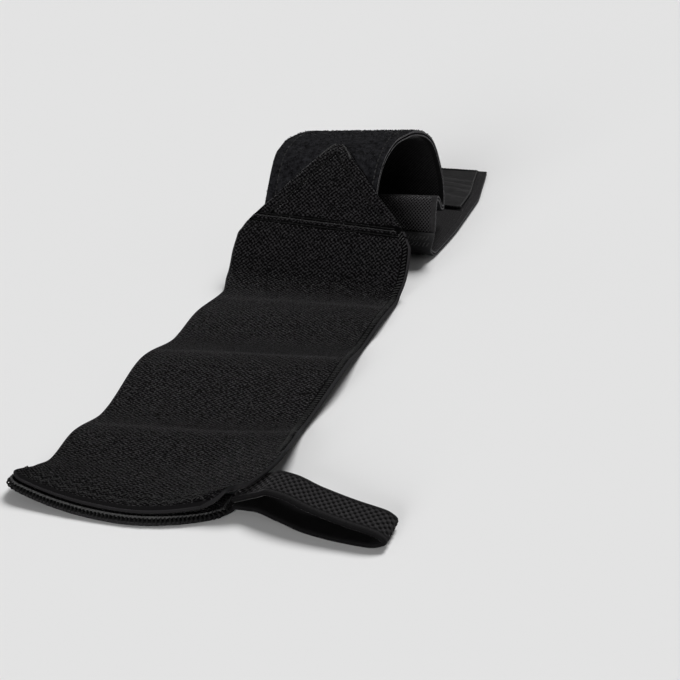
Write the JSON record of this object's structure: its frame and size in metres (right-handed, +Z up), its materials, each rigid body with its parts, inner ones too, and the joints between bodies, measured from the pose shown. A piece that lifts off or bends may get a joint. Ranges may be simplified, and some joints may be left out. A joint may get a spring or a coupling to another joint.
{
  "type": "wrist wrap",
  "caption": "Unrolled lifting wrist wrap: woven elastic band with a thumb loop at one end and a pointed end sewn to an arched and folded hook-and-pile closure strap.",
  "frame": {"origin": "middle of the box that the lying wrap fills, on the surface that it lies on", "axes": "+Y along the band from the thumb loop to the closure tab, +X towards the side that the thumb loop leaves, +Z up"},
  "size_m": [0.1248, 0.406, 0.0546],
  "materials": {
    "woven_elastic": "matt woven elastic with overlocked edges",
    "loop_elastic": "narrow elastic in a coarse checked weave with smooth selvages",
    "webbing": "fine diamond-weave backing",
    "pile": "matt brushed loop pile",
    "hook": "moulded hook field in rows",
    "satin": "smooth satin with a soft sheen"
  },
  "bodies": {
    "root": {"elastic_band": "woven_elastic", "end_hem": "woven_elastic", "thumb_loop": "loop_elastic", "web_strap": "webbing", "pile_tape": "pile", "hook_tape": "hook", "satin_patch": "satin"}
  },
  "joints": []
}
